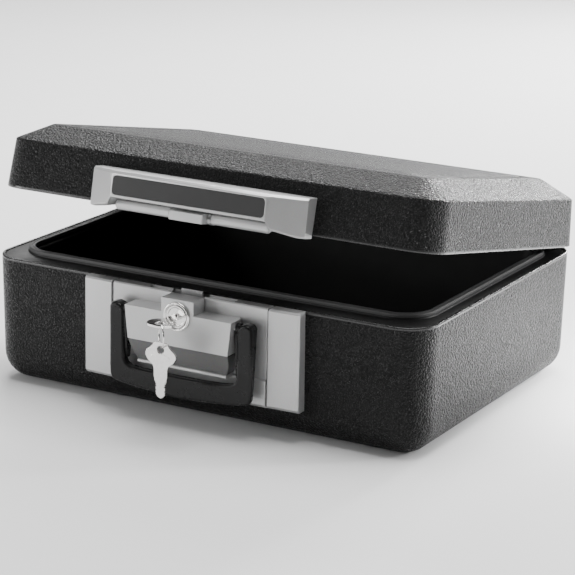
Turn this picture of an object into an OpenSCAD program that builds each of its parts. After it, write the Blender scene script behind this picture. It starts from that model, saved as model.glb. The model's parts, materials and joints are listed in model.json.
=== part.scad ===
// Fireproof document box: insulated base and lid, key lock, bail handle.
// +X to the right, -Y to the front, +Z up, origin at the centre of the underside.

/* [Box] */
// Width of the box over its rim
body_w = 406; // [380:1:430]
// Depth of the base and lid shells over the rim
body_d = 300; // [280:1:320]
// Height of the base rim above the underside
base_h = 108.3; // [100:0.1:120]
// Plan radius of the vertical corners
corner_r = 27; // [24:1:30]
// Radius of the edge round the underside
foot_r = 24; // [20:1:24]
// How far each base wall leans in at the foot
base_lean = 1.6; // [0.5:0.1:3]
// Thickness of the plastic skins
skin = 3; // [2:0.5:4]

/* [Lid] */
// Gap between the closed lid and the base rim
seam = 1; // [0.8:0.1:1.5]
// Height of the lid's upright sides
lid_side_h = 40.7; // [35:0.1:45]
// Height of the slope above the sides
lid_slope_h = 14.7; // [10:0.1:18]
// How far each upright side leans in
lid_lean = 2.2; // [1:0.1:3]
// Distance of the flat top from the left and right sides
top_in_x = 27.3; // [22:0.1:32]
// Distance of the flat top from the front and back
top_in_y = 32.6; // [28:0.1:38]
// Opening angle of the lid at rest
lid_ajar = 11.34; // [0:0.01:20]

/* [Document space] */
// Width of the document space at its mouth
room_w = 362; // [350:1:364]
// Depth of the document space at its mouth
room_d = 248; // [240:1:250]
// Height of the document space's floor
room_floor = 20; // [18:1:26]
// How far each wall of the document space leans in
room_lean = 5; // [3:1:8]
// Height of the seal's top above the rim
tongue_h = 3.9; // [3:0.1:5]
// Depth of the hollow inside the lid
lid_room_h = 24; // [16:1:26]

/* [Hinge] */
// Distance of the hinge axis behind the box's centre
hinge_y = 145; // [144:0.1:146]
// Height of the hinge axis
hinge_z = 91; // [88:0.1:92]
// Distance of each hinge from the middle
hinge_x = 105; // [90:1:120]
// Radius of the hinge pins
hinge_pin_r = 2.5; // [2:0.1:3]

/* [Lock] */
// Height of the lock's axis
lock_z = 94.5; // [93:0.1:95]
// Radius of the lock plug
plug_r = 9.45; // [9:0.01:9.5]
// Half width of the boss round the lock
boss_x = 15; // [14.5:0.1:16]
// Distance of the boss's face in front of the shell
boss_off = 28.4; // [27:0.1:29]
// Thickness of the keys
key_t = 2; // [1.8:0.1:2.2]
// Radius of the key ring
ring_r = 10; // [9.5:0.1:10.5]
// Angle of the key ring's plane from straight ahead
ring_turn = 42; // [38:1:46]

/* [Handle] */
// Half distance between the outsides of the arms
handle_x = 66.5; // [65:0.5:68]
// Distance of the handle's pivots in front of the shell
pivot_off = 19.5; // [19:0.1:20]
// Height of the handle's pivots
pivot_z = 91; // [90:0.1:91.5]
// Half thickness of the handle
handle_t = 5.5; // [5:0.1:5.5]

/* [Hidden] */
$fn = 32;

front_y = -body_d / 2;
lid_z = base_h + seam;
lid_top = lid_z + lid_side_h + lid_slope_h;
lean_angle = atan(base_lean / (base_h - 1 - foot_r));
flange_t = 4;
tongue_w = 6;
tongue_in_x = 12.4;
tongue_in_y = 19.3;
tongue_r = 30;
seal_seat = 1.5;
ridge_h = 1;
lid_step_h = 5;
lip_h = 0.7;
// Hinge pocket: half width, front wall and floor
cup_x = 28;
cup_y = hinge_y - 10.6;
cup_z = 76;
cup_wall = 1.6;
cup_cheek = 4;
leaf_x = 23;
knuckle_r = 5;
screw_r = 2;
// Front plate
plate_x = 100.5;
plate_z = 25.5;
groove_x = 73.3;
plate_t = 10;
plate_crown = 12;
slot_front = 11.5;
slot_back = 0.4;
slot_low = 80;
recess_off = 10;
notch_x = 40;
notch_h = 1.8;
// Lock block: half widths at its top, its lower edge and the foot of its chin
block_x = 49.5;
block_top = 96.8;
block_low_x = 46.5;
block_low = 69;
chin_x = 40.4;
chin_low = 51;
plate_screw_x = 87;
plate_screw_zs = [40, 92];
barrel_r = 10.8;
collar_r = 12.1;
bore_gap = 0.05;
handle_pin_r = 2.45;
// Cam: its nose passes over the badge's keeper when it stands upright
cam_front = 9;
cam_t = 1.6;
cam_low = 16.8;
cam_high = 18.5;
keeper_w = 4;
keeper_z = 107.2;
keeper_t = 1.7;
cam_hub_r = 4.5;
catch_x = 10;
catch_top = 111;
arm_w = 14;
// Keys
hole_off = 53.4;
hang = 1.8;
ring_wire = 0.7;
ring_s = 6;
ring_z = -7.2;
// Lid badge
badge_x = 99.4;
badge_end = 12;
badge_mid = 71;
badge_off = 28;
badge_low = 106.6;
badge_top = 138.8;
label_z = 126.8;
label_h = 15.6;
brow_z = 117;
rod_r = 3.8;
rod_z = 111;
rod_off = 16;
rod_end = 75;
snap_x = 6;
snap_w = 5;
badge_screw_x = 86;
badge_screw_z = 128;

// A point at distance off in front of the shell's rim
module ahead(off, z) translate([0, front_y - off, z]) children();

// A cylinder along Y from off0 to off1 in front of the shell
module barrel_y(r, off0, off1) ahead(off1, 0) rotate([-90, 0, 0]) cylinder(h = off1 - off0, r = r, $fn = 64);

// A cylinder along X, centred
module rod_x(r, length) rotate([0, 90, 0]) cylinder(h = length, r = r, center = true);

module on_corners(x, y) for (sx = [-1, 1], sy = [-1, 1]) translate([sx * x, sy * y]) children();

// Rounded rectangle with exact corners
module round_rect(w, d, r) {
    square([w - 2 * r, d], center = true);
    square([w, d - 2 * r], center = true);
    on_corners(w / 2 - r, d / 2 - r) circle(r, $fn = 64);
}

module mirrored_x() {
    children();
    mirror([1, 0, 0]) children();
}

// The base's solid form, shrunk by t on every side
module base_form(t) {
    x = body_w / 2 - corner_r;
    y = body_d / 2 - corner_r;
    fx = body_w / 2 - base_lean - foot_r;
    fy = body_d / 2 - base_lean - foot_r;
    hull() {
        translate([0, 0, base_h - 1]) on_corners(x, y) cylinder(h = 1, r = corner_r - t);
        translate([0, 0, foot_r]) on_corners(fx, fy) cylinder(h = 0.1, r = foot_r - t);
        translate([0, 0, foot_r]) on_corners(fx, fy) sphere(foot_r - t);
    }
}

// The document space, grown by t on every side
module room_form(t) {
    r = 18;
    x = room_w / 2 - r;
    y = room_d / 2 - r;
    hull() {
        translate([0, 0, base_h - 1]) on_corners(x, y) cylinder(h = 1, r = r + t);
        translate([0, 0, room_floor + 12])
            on_corners(x - room_lean, y - room_lean) sphere(12 + t);
    }
}

// The closed lid's solid form, shrunk by t on every side
module lid_form(t) {
    x = body_w / 2 - corner_r;
    y = body_d / 2 - corner_r;
    top_r = 8;
    hull() {
        translate([0, 0, lid_z]) on_corners(x, y) cylinder(h = 0.5, r = corner_r - t);
        translate([0, 0, lid_z + lid_side_h - 0.5 - t / 2])
            on_corners(x - lid_lean, y - lid_lean) cylinder(h = 0.5, r = corner_r - t);
        translate([0, 0, lid_top - 0.5 - t])
            on_corners(body_w / 2 - top_in_x - top_r, body_d / 2 - top_in_y - top_r)
                cylinder(h = 0.5, r = top_r - t / 2);
    }
}

// The hollow inside the lid, grown by t
module lid_room(t) {
    r = 18;
    hull() {
        translate([0, 0, lid_z - 1]) on_corners(room_w / 2 - 8 - r, room_d / 2 - 8 - r)
            cylinder(h = 1, r = r + t);
        translate([0, 0, lid_z + lid_room_h + t - 1])
            on_corners(room_w / 2 - 16 - r, room_d / 2 - 20 - r) cylinder(h = 1, r = r - 6 + t);
    }
}

// Moves a closed-lid part to the lid's resting angle
module on_lid() {
    translate([0, hinge_y, hinge_z]) rotate([-lid_ajar, 0, 0]) translate([0, -hinge_y, -hinge_z])
        children();
}

// Space taken by the two hinge pockets
module pockets() {
    mirrored_x() translate([hinge_x - cup_x, cup_y, cup_z]) cube([2 * cup_x, 40, 60]);
}

module base_shell() {
    color("#1c1c1e") difference() {
        base_form(0);
        base_form(skin);
        translate([0, 0, base_h - flange_t]) linear_extrude(2 * flange_t)
            round_rect(body_w - 2 * skin, body_d - 2 * skin, corner_r - skin);
        pockets();
        plate_screw_holes();
    }
}

module base_insulation() {
    color("#b9b4aa") difference() {
        base_form(skin);
        room_form(2.5);
        translate([-250, -200, base_h - flange_t]) cube([500, 400, 20]);
        pockets();
        plate_screw_holes();
    }
}

// Plan of the tongue round the mouth, wider by t on both sides
module tongue_ring(t) {
    inner_x = tongue_in_x + tongue_w + t;
    inner_y = tongue_in_y + tongue_w + t;
    difference() {
        round_rect(body_w - 2 * (tongue_in_x - t), body_d - 2 * (tongue_in_y - t), tongue_r + t);
        round_rect(body_w - 2 * inner_x, body_d - 2 * inner_y, tongue_r - tongue_w - t);
    }
}

// Grey seal on the tongue, seated in a groove
module rim_seal() {
    color("#8b8c8e") translate([0, 0, base_h - seal_seat]) linear_extrude(tongue_h + seal_seat)
        tongue_ring(0);
}

module base_liner() {
    color("#2b2c2f") difference() {
        union() {
            intersection() {
                room_form(2.5);
                translate([-250, -200, 0]) cube([500, 400, base_h - flange_t]);
            }
            translate([0, 0, base_h - flange_t]) linear_extrude(flange_t)
                round_rect(body_w - 2 * skin, body_d - 2 * skin, corner_r - skin);
            // Low ridge that holds the seal
            translate([0, 0, base_h - 0.5]) linear_extrude(ridge_h + 0.5) tongue_ring(0.6);
        }
        room_form(0);
        pockets();
        rim_seal();
    }
}

// Front plate -------------------------------------------------------------

module plate_outline() {
    polygon([[-plate_x, -20], [-plate_x, plate_t], [-groove_x, plate_crown], [groove_x, plate_crown],
        [plate_x, plate_t], [plate_x, -20]]);
}

module lock_block() {
    hull() {
        ahead(14, block_top - 0.1) cube([2 * block_x, 28, 0.2], center = true);
        ahead(14, block_low) cube([2 * block_low_x, 28, 0.2], center = true);
        ahead(10, chin_low) cube([2 * chin_x, 20, 0.2], center = true);
    }
}

module plate_screw_holes() {
    mirrored_x() for (z = plate_screw_zs) translate([plate_screw_x, 0, z]) barrel_y(screw_r, -14, 6);
}

module lock_plate() {
    color("#bfc1c3") difference() {
        union() {
            difference() {
                translate([0, front_y, plate_z]) mirror([0, 1, 0])
                    linear_extrude(base_h - plate_z) plate_outline();
                // Groove at each side and the centre field set back behind the handle
                mirrored_x() translate([groove_x - 0.8, front_y - 20, plate_z - 1])
                    cube([0.8, 10.8, 100]);
                translate([-groove_x, front_y - recess_off - 20, plate_z + 24])
                    cube([2 * groove_x, 20, 100]);
            }
            lock_block();
            translate([-boss_x, front_y - boss_off, 96]) cube([2 * boss_x, boss_off, base_h - 96]);
        }
        // Back face lies on the leaning shell
        translate([0, front_y, base_h - 1]) rotate([lean_angle, 0, 0])
            translate([-150, 0, -120]) cube([300, 80, 121]);
        translate([-150, front_y, base_h - 1.01]) cube([300, 80, 10]);
        // Slot for the latch and a wider one for the sweep of the cam
        translate([-boss_x + 1, front_y - slot_front, slot_low])
            cube([2 * boss_x - 2, slot_front - slot_back, 60]);
        translate([-cam_high - 1.2, front_y - cam_front - 0.3, 86]) cube([cam_high + 1.2, cam_front - 0.1, 26]);
        translate([-notch_x, front_y - 8, base_h - notch_h]) cube([2 * notch_x, 6, 60]);
        translate([0, 0, lock_z]) barrel_y(barrel_r, 5, 40);
        mirrored_x() ahead(pivot_off, pivot_z) translate([46, 0, 0]) rod_x(handle_pin_r, 14);
        plate_screw_holes();
    }
}

module plate_screws() {
    color("#8c8c8c") plate_screw_holes();
}

module handle_pins() {
    color("#9a9a9a") mirrored_x() ahead(pivot_off, pivot_z) translate([47.6, 0, 0])
        rod_x(handle_pin_r, 17.2);
}

module lock_barrel() {
    color("#a8a8a8") translate([0, 0, lock_z]) difference() {
        barrel_y(barrel_r, slot_front, boss_off);
        barrel_y(plug_r + bore_gap, 5, 40);
    }
}

module lock_collar() {
    color("#e2e2e2") translate([0, 0, lock_z]) difference() {
        barrel_y(collar_r, boss_off, boss_off + 1.8);
        barrel_y(plug_r + bore_gap, 5, 40);
    }
}

module catch_tab() {
    color("#c8c8c8") translate([-catch_x, front_y, 0]) {
        rotate([90, 0, 90]) linear_extrude(2 * catch_x)
            polygon([[-5.6, slot_low], [-5.6, catch_top], [-4, catch_top], [-4, slot_low]]);
        // Barb for the latch's snap arm
        translate([14, 0, 0]) rotate([90, 0, 90]) linear_extrude(6)
            polygon([[-5.5, catch_top - 1.5], [-6.8, catch_top - 1.5], [-5.5, catch_top]]);
        translate([0, -4, slot_low]) cube([2 * catch_x, 4 - slot_back, 2]);
    }
}

// Hinge -------------------------------------------------------------------

module hinge_cups() {
    color("#5c5f63") mirrored_x() difference() {
        translate([hinge_x - cup_x, cup_y, cup_z]) cube([2 * cup_x, body_d / 2 - 1.4 - cup_y, base_h - cup_z]);
        translate([hinge_x - cup_x + cup_cheek, cup_y + cup_wall, cup_z + cup_wall])
            cube([2 * (cup_x - cup_cheek), 40, 60]);
        translate([hinge_x, hinge_y, hinge_z]) rod_x(hinge_pin_r, 2 * cup_x + 2);
        cup_screw_spots() rotate([90, 0, 0]) cylinder(h = 4, r = screw_r, center = true);
    }
}

module cup_screw_spots() {
    for (dx = [-16, 16]) translate([hinge_x + dx, cup_y + cup_wall, hinge_z - 4]) children();
}

module hinge_cup_screws() {
    color("#8c8c8c") mirrored_x() cup_screw_spots() {
        rotate([90, 0, 0]) cylinder(h = cup_wall, r = screw_r);
        rotate([-90, 0, 0]) cylinder(h = 1.2, r = 3.4);
    }
}

module hinge_pins() {
    color("#9a9a9a") mirrored_x() translate([hinge_x, hinge_y, hinge_z]) rod_x(hinge_pin_r, 2 * cup_x);
}

module leaf_screw_spots() {
    for (dx = [-15, 0, 15]) translate([hinge_x + dx, 140, 0]) children();
}

module hinge_leaves() {
    color("#5c5f63") on_lid() mirrored_x() difference() {
        union() {
            translate([hinge_x, hinge_y, hinge_z]) rod_x(knuckle_r, 2 * leaf_x);
            translate([hinge_x - leaf_x, hinge_y - 0.6, hinge_z]) cube([2 * leaf_x, 4.6, lid_z - hinge_z]);
            translate([hinge_x - leaf_x, 136.6, lid_z - 3]) cube([2 * leaf_x, 12.4, 3]);
        }
        translate([hinge_x, hinge_y, hinge_z]) rod_x(hinge_pin_r + bore_gap, 2 * leaf_x + 2);
        leaf_screw_spots() translate([0, 0, lid_z - 4]) cylinder(h = 6, r = screw_r);
    }
}

module hinge_leaf_screws() {
    color("#8c8c8c") on_lid() mirrored_x() leaf_screw_spots() {
        translate([0, 0, lid_z - 3]) cylinder(h = 15, r = screw_r);
        translate([0, 0, lid_z - 4.4]) cylinder(h = 1.4, r = 3.2);
    }
}

// Lid ---------------------------------------------------------------------

module lid_shell() {
    color("#1c1c1e") on_lid() {
        difference() {
            lid_form(0);
            lid_form(skin);
            translate([0, 0, lid_z - 1]) linear_extrude(3)
                round_rect(body_w - 2 * skin, body_d - 2 * skin, corner_r - skin);
            badge_screw_holes();
        }
        // Lip under the front and the sides
        translate([0, 0, lid_z - lip_h]) linear_extrude(lip_h + 0.3) difference() {
            round_rect(body_w - 1, body_d - 1, corner_r - 0.5);
            round_rect(body_w - 5, body_d - 5, corner_r - 2.5);
            translate([-250, 118]) square([500, 60]);
        }
    }
}

module lid_insulation() {
    color("#b9b4aa") on_lid() difference() {
        lid_form(skin);
        translate([-250, -200, lid_z - 10]) cube([500, 400, 10 + lid_step_h + skin]);
        lid_room(2.5);
        mirrored_x() leaf_screw_spots() cylinder(h = lid_z + 12, r = screw_r);
        badge_screw_holes();
    }
}

module lid_liner() {
    color("#2b2c2f") on_lid() difference() {
        union() {
            intersection() {
                lid_form(skin);
                translate([-250, -200, lid_z]) cube([500, 400, lid_step_h + skin]);
            }
            intersection() {
                lid_room(2.5);
                translate([-250, -200, lid_z + lid_step_h + skin - 0.01]) cube([500, 400, 60]);
            }
        }
        // Step that clears the base's tongue
        translate([0, 0, lid_z - 1]) linear_extrude(lid_step_h + 1)
            round_rect(body_w - 2 * (tongue_in_x - 1.5), body_d - 2 * (tongue_in_y - 1.5), tongue_r + 1.5);
        lid_room(0);
        mirrored_x() leaf_screw_spots() cylinder(h = lid_z + 12, r = screw_r);
        badge_screw_holes();
    }
}

// Lid badge with its finger recess ------------------------------------------

module badge_screw_holes() {
    mirrored_x() translate([badge_screw_x, 0, badge_screw_z]) barrel_y(screw_r, -12, 6);
}

// The space behind the lid's leaning front face
module lid_face_cut() {
    translate([0, front_y, lid_z + 0.5]) rotate([-atan(lid_lean / (lid_side_h - 0.5)), 0, 0])
        translate([-150, 0, -20]) cube([300, 60, 90]);
}

module badge_plan(depth) {
    polygon([[-badge_x, -4], [-badge_x, badge_end], [-badge_mid - 4, depth - 4], [-badge_mid, depth],
        [badge_mid, depth], [badge_mid + 4, depth - 4], [badge_x, badge_end], [badge_x, -4]]);
}

module lid_badge() {
    color("#bfc1c3") on_lid() {
        difference() {
            translate([0, front_y, badge_low]) mirror([0, 1, 0])
                linear_extrude(badge_top - badge_low) badge_plan(badge_off);
            // Finger recess under the brow
            translate([-badge_mid, front_y - 60, badge_low - 1])
                cube([2 * badge_mid, 70, brow_z - badge_low + 1]);
            // Recess of the label
            translate([0, front_y - badge_off + 0.8, label_z]) rotate([90, 0, 0]) linear_extrude(5)
                round_rect(140, label_h, 3);
            mirrored_x() ahead(rod_off, rod_z) translate([rod_end - 3, 0, 0]) rod_x(rod_r + bore_gap, 6);
            lid_face_cut();
            badge_screw_holes();
        }
        // Keeper that the cam's nose holds down
        translate([0, front_y, keeper_z]) {
            translate([0, -cam_front - 1.9, 0]) cube([keeper_w, 1.5, brow_z + 0.5 - keeper_z]);
            translate([0, -cam_front - 1.9, 0]) cube([keeper_w, 3.6, keeper_t]);
        }
    }
}

module badge_label() {
    color("#3c3c40") on_lid() translate([0, front_y - badge_off + 0.8, label_z]) rotate([90, 0, 0])
        linear_extrude(0.7) round_rect(139.8, label_h - 0.2, 2.9);
}

module badge_screws() {
    color("#8c8c8c") on_lid() badge_screw_holes();
}

module latch_bar() {
    color("#c4c6c8") on_lid() {
        ahead(rod_off, rod_z) rod_x(rod_r, 2 * rod_end - 0.6);
        mirrored_x() ahead(rod_off, rod_z) translate([20, 0, 0]) rod_x(rod_r + 0.5, 1.6);
        // Finger block
        translate([-boss_x - 0.5, front_y, 0]) rotate([90, 0, 90]) linear_extrude(2 * boss_x + 1)
            polygon([[-13, 107.6], [-17, 106.5], [-27, 106.5], [-27, 114.6], [-22, 115.9], [-13, 115.9]]);
        // Snap arm with its lip under the catch tab
        translate([snap_x, front_y, 0]) {
            translate([0, -13.5, 108]) cube([snap_w, 5, 3.5]);
            translate([0, -9.2, 105.9]) cube([snap_w, 1.6, 5.6]);
            translate([0, -7.7, 105.9]) cube([snap_w, 1.5, 1.3]);
        }
    }
}

module latch_springs() {
    color("#b0b0b0") on_lid() mirrored_x() ahead(rod_off, rod_z) for (i = [0 : 2])
        translate([16.4 + 1.1 * i, 0, 0]) rotate([0, 90, 0])
            rotate_extrude() translate([rod_r + 0.7, 0]) circle(0.45, $fn = 16);
}

// Lock, keys --------------------------------------------------------------

module lock_plug() {
    color("#d8d8d8") translate([0, 0, lock_z]) difference() {
        union() {
            barrel_y(plug_r, slot_front - 0.3, boss_off + 1.4);
            barrel_y(5, cam_front, slot_front);
        }
        translate([0, front_y - boss_off, 0]) cube([9.4, 6, key_t + 0.4], center = true);
    }
}

// The cam lies to the left when the lock is open and stands up when it is shut
module lock_cam() {
    color("#a8a8a8") translate([0, front_y - cam_front + cam_t, lock_z]) rotate([90, -90, 0]) difference() {
        linear_extrude(cam_t) {
            circle(cam_hub_r);
            translate([-5, 0]) square([4.4, cam_high]);
            translate([-5, cam_low]) square([keeper_w + 5, cam_high - cam_low]);
        }
        cylinder(h = 3 * cam_t, r = 1.6, center = true);
    }
}

module cam_screw() {
    color("#8c8c8c") translate([0, 0, lock_z]) {
        barrel_y(1.6, cam_front - cam_t, cam_front);
        barrel_y(3, cam_front - cam_t - 1.2, cam_front - cam_t);
    }
}

module key_bow(w) {
    hull() {
        on_corners(w / 2 - 4, 3) circle(4);
        translate([0, -7]) circle(5);
        translate([0, 4]) circle(7);
    }
}

module lock_key() {
    color("#dcdcdc") translate([0, front_y, lock_z - key_t / 2]) difference() {
        linear_extrude(key_t) {
            translate([0, -hole_off + 3.6]) rotate(180) key_bow(24);
            translate([-4.5, -44]) square([9, 44 - boss_off + 2]);
        }
        translate([0, -hole_off, -1]) cylinder(h = 5, r = 4.2);
    }
}

// The ring's centre lies ahead of and below the hole that it hangs from
module ring_place() {
    translate([0, front_y - hole_off, lock_z]) rotate([0, 0, ring_turn]) translate([0, -ring_s, ring_z])
        children();
}

module key_ring() {
    color("#d0d0d0") ring_place() rotate([0, 90, 0])
        rotate_extrude($fn = 64) translate([ring_r, 0]) circle(ring_wire, $fn = 16);
}

module spare_key() {
    hx = ring_s * sin(ring_turn);
    hy = front_y - hole_off - ring_s * cos(ring_turn);
    color("#dcdcdc") translate([hx, hy, lock_z + ring_z - ring_r - hang]) rotate([90, 0, 0])
        translate([0, 0, -key_t / 2]) difference() {
            linear_extrude(key_t) {
                translate([0, -4]) key_bow(28);
                translate([-5.5, -22]) square([11, 12]);
                polygon([[-5.5, -22], [-4, -24], [-4, -35], [0, -40], [4, -35], [4, -24], [5.5, -22]]);
            }
            translate([0, 0, -1]) cylinder(h = 5, r = 3);
        }
}

// Handle ------------------------------------------------------------------

module carry_handle() {
    arm_in = handle_x - arm_w;
    color("#18181a") difference() {
        union() {
            mirrored_x() hull() {
                ahead(pivot_off, pivot_z) translate([handle_x - arm_w / 2, 0, 0]) rod_x(handle_t, arm_w);
                ahead(pivot_off, 36) translate([handle_x - arm_w / 2, 0, 0]) rod_x(handle_t, arm_w);
            }
            hull() {
                ahead(pivot_off, 43) rod_x(handle_t - 1.5, 2 * handle_x - 8);
                ahead(pivot_off, 34) rod_x(handle_t, 2 * handle_x - 2);
                ahead(pivot_off, 29) rod_x(handle_t - 1.5, 80);
            }
            mirrored_x() ahead(pivot_off, pivot_z) translate([arm_in - 0.9, 0, 0]) rod_x(handle_t, 2);
        }
        mirrored_x() ahead(pivot_off, pivot_z) translate([arm_in - 1, 0, 0]) rod_x(2.5, 12);
    }
}

base_shell();
base_insulation();
base_liner();
rim_seal();
lock_plate();
plate_screws();
lock_barrel();
lock_collar();
catch_tab();
hinge_cups();
hinge_cup_screws();
hinge_pins();
handle_pins();
lid_shell();
lid_insulation();
lid_liner();
lid_badge();
badge_label();
badge_screws();
hinge_leaves();
hinge_leaf_screws();
latch_springs();
latch_bar();
lock_plug();
lock_cam();
cam_screw();
lock_key();
key_ring();
spare_key();
carry_handle();
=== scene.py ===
"""Fireproof document box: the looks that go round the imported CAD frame.

Every builder below works in millimetres, in the frame's own axes; piece() turns them into metres.
The lid's pieces are drawn shut and then turned open about the hinge.
"""
import json
from math import atan2, cos, pi, radians, sin

import bpy
import bmesh
from mathutils import Matrix, Vector


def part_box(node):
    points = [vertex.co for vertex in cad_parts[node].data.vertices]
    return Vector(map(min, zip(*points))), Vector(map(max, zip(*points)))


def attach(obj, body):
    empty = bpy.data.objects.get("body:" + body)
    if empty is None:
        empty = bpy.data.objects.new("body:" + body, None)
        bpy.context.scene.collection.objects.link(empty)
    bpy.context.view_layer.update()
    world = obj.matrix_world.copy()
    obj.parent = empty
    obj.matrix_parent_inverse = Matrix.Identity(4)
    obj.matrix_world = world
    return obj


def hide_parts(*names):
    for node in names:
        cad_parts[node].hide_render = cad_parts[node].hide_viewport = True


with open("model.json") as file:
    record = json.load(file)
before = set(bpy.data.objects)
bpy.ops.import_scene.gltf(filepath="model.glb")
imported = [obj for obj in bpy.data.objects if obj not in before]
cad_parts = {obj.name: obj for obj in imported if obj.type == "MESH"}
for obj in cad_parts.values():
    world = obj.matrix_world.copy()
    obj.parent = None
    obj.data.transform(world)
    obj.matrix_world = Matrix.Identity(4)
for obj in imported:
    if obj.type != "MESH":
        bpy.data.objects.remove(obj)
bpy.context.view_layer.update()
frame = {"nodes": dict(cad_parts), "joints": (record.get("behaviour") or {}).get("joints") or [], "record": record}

MM = 0.001
joints = {j["name"]: j for j in frame["joints"]}


def box_mm(node):
    """A CAD node's lowest and highest corners."""
    low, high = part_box(node)
    return [v / MM for v in low], [v / MM for v in high]


# Sizes and places that the frame gives. Distances called "off" or "deep" are measured forwards from FRONT.
HALF_W, HALF_D, RIM_Z = box_mm("base_shell")[1]
FRONT = -HALF_D
HINGE = Vector(joints["lid_hinge"]["pos_m"]) / MM
AJAR = radians(11.34)
LOCK_Z = joints["plug_turn"]["pos_m"][2] / MM
PIVOT = Vector(joints["handle_swing"]["pos_m"]) / MM
KEY_HOLE = Vector(joints["ring_swing"]["pos_m"]) / MM
KEY_HANG = Vector(joints["key_swing"]["pos_m"]) / MM
SEAL_X, SEAL_Y, SEAL_TOP = box_mm("rim_seal")[1]
COLLAR_FACE = FRONT - box_mm("lock_collar")[0][1]
COLLAR_R = box_mm("lock_collar")[1][0]
PLUG_FACE = FRONT - box_mm("lock_plug")[0][1]

# Base: outer corners, rounded foot, lean of the sides, wall, and the ridge that holds the seal
CORNER_R = 27
FOOT_R = 24
LEAN = 1.6
SKIN = 3
RIDGE = 1
POCKET_W = 56
# Lid: its lower edge when shut, upright sides, slope and the flat top's distance from the sides
LID_Z = RIM_Z + 1
LID_SIDE = 40.7
LID_LEAN = 2.2
LID_TOP = LID_Z + LID_SIDE + 14.7
TOP_IN_X = 27.3
TOP_IN_Y = 32.6
# Document space: half sizes at its mouth, its taper and the height where its floor's rounding starts
ROOM_X = 181
ROOM_Y = 124
ROOM_TAPER = 11
ROOM_LOW = 32

LID_MATRIX = (
    Matrix.Translation(HINGE) @ Matrix.Rotation(-AJAR, 4, "X") @ Matrix.Translation(-HINGE)
)


# Materials -----------------------------------------------------------------


class Nodes:
    """Short way to build one node material."""

    def __init__(self, name):
        self.material = bpy.data.materials.new(name)
        self.material.use_nodes = True
        self.tree = self.material.node_tree
        self.shader = self.tree.nodes["Principled BSDF"]
        self.place = self.tree.nodes.new("ShaderNodeTexCoord").outputs["Object"]

    def node(self, kind, inputs=(), **settings):
        made = self.tree.nodes.new(kind)
        for key, value in settings.items():
            setattr(made, key, value)
        for key, value in dict(inputs).items():
            if isinstance(value, bpy.types.NodeSocket):
                self.tree.links.new(value, made.inputs[key])
            else:
                made.inputs[key].default_value = value
        return made

    def noise(self, scale, detail, rough):
        inputs = {"Vector": self.place, "Scale": scale, "Detail": detail, "Roughness": rough}
        return self.node("ShaderNodeTexNoise", inputs).outputs["Fac"]

    def ramp(self, value, low, high, out_low=0.0, out_high=1.0):
        inputs = {0: value, 1: low, 2: high, 3: out_low, 4: out_high}
        return self.node("ShaderNodeMapRange", inputs).outputs[0]

    def mix(self, factor, low, high):
        made = self.node("ShaderNodeMix", data_type="RGBA")
        for index, value in ((0, factor), (6, low), (7, high)):
            if isinstance(value, bpy.types.NodeSocket):
                self.tree.links.new(value, made.inputs[index])
            else:
                made.inputs[index].default_value = value
        return made.outputs[2]

    def maths(self, operation, a, b):
        return self.node("ShaderNodeMath", {0: a, 1: b}, operation=operation).outputs[0]

    def bump(self, height, distance, normal=None):
        inputs = {"Height": height, "Distance": distance, "Strength": 1.0}
        if normal is not None:
            inputs["Normal"] = normal
        return self.node("ShaderNodeBump", inputs).outputs["Normal"]

    def finish(self, **values):
        """Sets or links the shader's sockets and gives the material back."""
        sockets = {"color": "Base Color", "rough": "Roughness", "metal": "Metallic", "normal": "Normal",
                   "specular": "Specular IOR Level"}
        for key, value in values.items():
            socket = self.shader.inputs[sockets[key]]
            if isinstance(value, bpy.types.NodeSocket):
                self.tree.links.new(value, socket)
            else:
                socket.default_value = value
        return self.material


def grey(value, warm=0.0):
    """A neutral colour; warm moves it towards yellow."""
    return (value * (1 + warm), value, value * (1 - warm), 1)


def pebbled_plastic(name, dark, light):
    """Moulded black plastic with a pebble grain of about a millimetre, glossier on its peaks."""
    m = Nodes(name)
    pebbles = {"Vector": m.place, "Scale": 640.0, "Randomness": 1.0, "Smoothness": 0.6}
    cells = m.node("ShaderNodeTexVoronoi", pebbles, feature="SMOOTH_F1").outputs["Distance"]
    broad = m.noise(520.0, 2.0, 0.6)
    fine = m.noise(2100.0, 2.0, 0.6)
    height = m.maths("ADD", m.maths("MULTIPLY", cells, -1.0), m.maths("MULTIPLY", broad, 1.1))
    normal = m.bump(fine, 0.00006, m.bump(height, 0.0010))
    drift = m.noise(9.0, 3.0, 0.55)
    color = m.mix(m.ramp(drift, 0.3, 0.7), grey(dark), grey(light))
    peak = m.ramp(m.noise(760.0, 1.0, 0.5), 0.42, 0.62)
    rough = m.ramp(peak, 0.0, 1.0, 0.44, 0.24)
    shine = m.ramp(peak, 0.0, 1.0, 0.11, 0.25)
    return m.finish(color=color, rough=rough, normal=normal, specular=shine)


def smooth_plastic(name, dark, light, rough_low, rough_high, grain=1500.0, depth=0.00002, specular=0.4):
    """Plastic or rubber with a slight drift in colour and gloss, and a fine grain of the given depth."""
    m = Nodes(name)
    color = m.mix(m.ramp(m.noise(14.0, 4.0, 0.6), 0.3, 0.7), grey(dark), grey(light))
    rough = m.ramp(m.noise(75.0, 4.0, 0.65), 0.3, 0.7, rough_low, rough_high)
    normal = m.bump(m.noise(grain, 3.0, 0.6), depth)
    return m.finish(color=color, rough=rough, normal=normal, specular=specular)


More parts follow.
